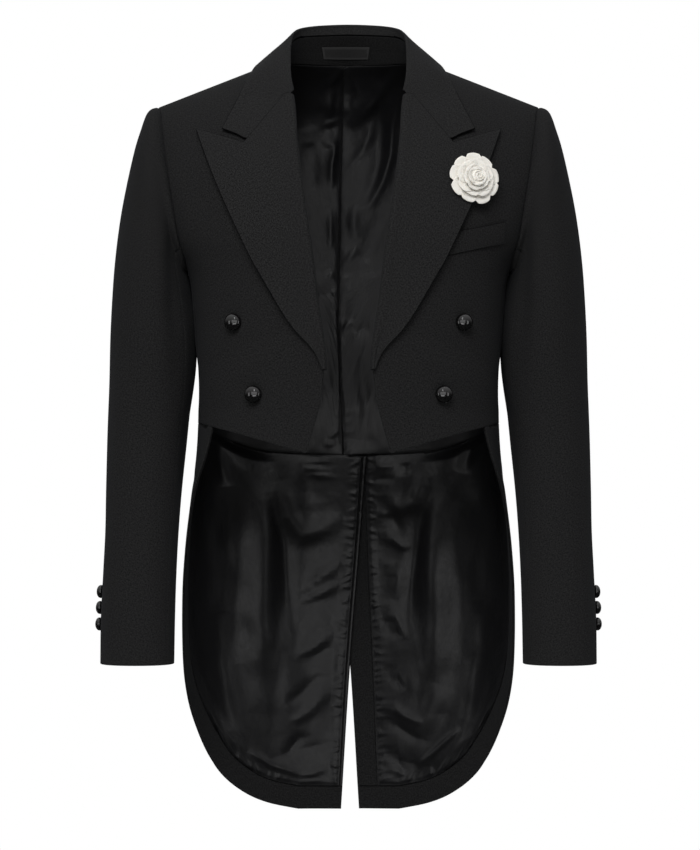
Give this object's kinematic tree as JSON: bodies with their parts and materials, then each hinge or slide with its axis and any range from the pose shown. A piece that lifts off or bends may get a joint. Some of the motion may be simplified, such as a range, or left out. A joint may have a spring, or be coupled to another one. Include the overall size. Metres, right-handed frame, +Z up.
{
  "type": "tailcoat",
  "caption": "Evening tailcoat filled out with no wearer: waist-length open fronts, peak lapels, turned-down collar, long set-in sleeves, two lined tails behind.",
  "frame": {"origin": "between the shoulders at neck height, where the wearer holds the coat up", "axes": "+Z up, the coat faces -Y, +X is the wearer's left"},
  "size_m": [0.5854, 0.2712, 0.9272],
  "materials": {
    "wool": "fine black worsted wool, matt with a soft nap",
    "satin": "black lining satin with a soft sheen",
    "button_black": "polished black",
    "flower_ivory": "soft ivory cloth",
    "label_black": "woven black satin, blank"
  },
  "bodies": {
    "root": {"front_left": "wool", "front_right": "wool", "side_body_left": "wool", "side_body_right": "wool", "back_left": "wool", "back_right": "wool", "tail_left": "wool", "tail_right": "wool", "tail_facing_left": "wool", "tail_facing_right": "wool", "vent_facing_left": "wool", "vent_lining_right": "satin", "tail_lining_left": "satin", "tail_lining_right": "satin", "back_lining_left": "satin", "back_lining_right": "satin", "lapel_left": "wool", "lapel_right": "wool", "collar_fall": "wool", "collar_stand": "wool", "top_sleeve_left": "wool", "top_sleeve_right": "wool", "under_sleeve_left": "wool", "under_sleeve_right": "wool", "breast_welt": "wool", "neck_label": "label_black", "front_button_left_upper": "button_black", "front_button_left_lower": "button_black", "front_button_right_upper": "button_black", "front_button_right_lower": "button_black", "cuff_button_left_1": "button_black", "cuff_button_left_2": "button_black", "cuff_button_left_3": "button_black", "cuff_button_right_1": "button_black", "cuff_button_right_2": "button_black", "cuff_button_right_3": "button_black", "lapel_flower": "flower_ivory"}
  },
  "joints": []
}
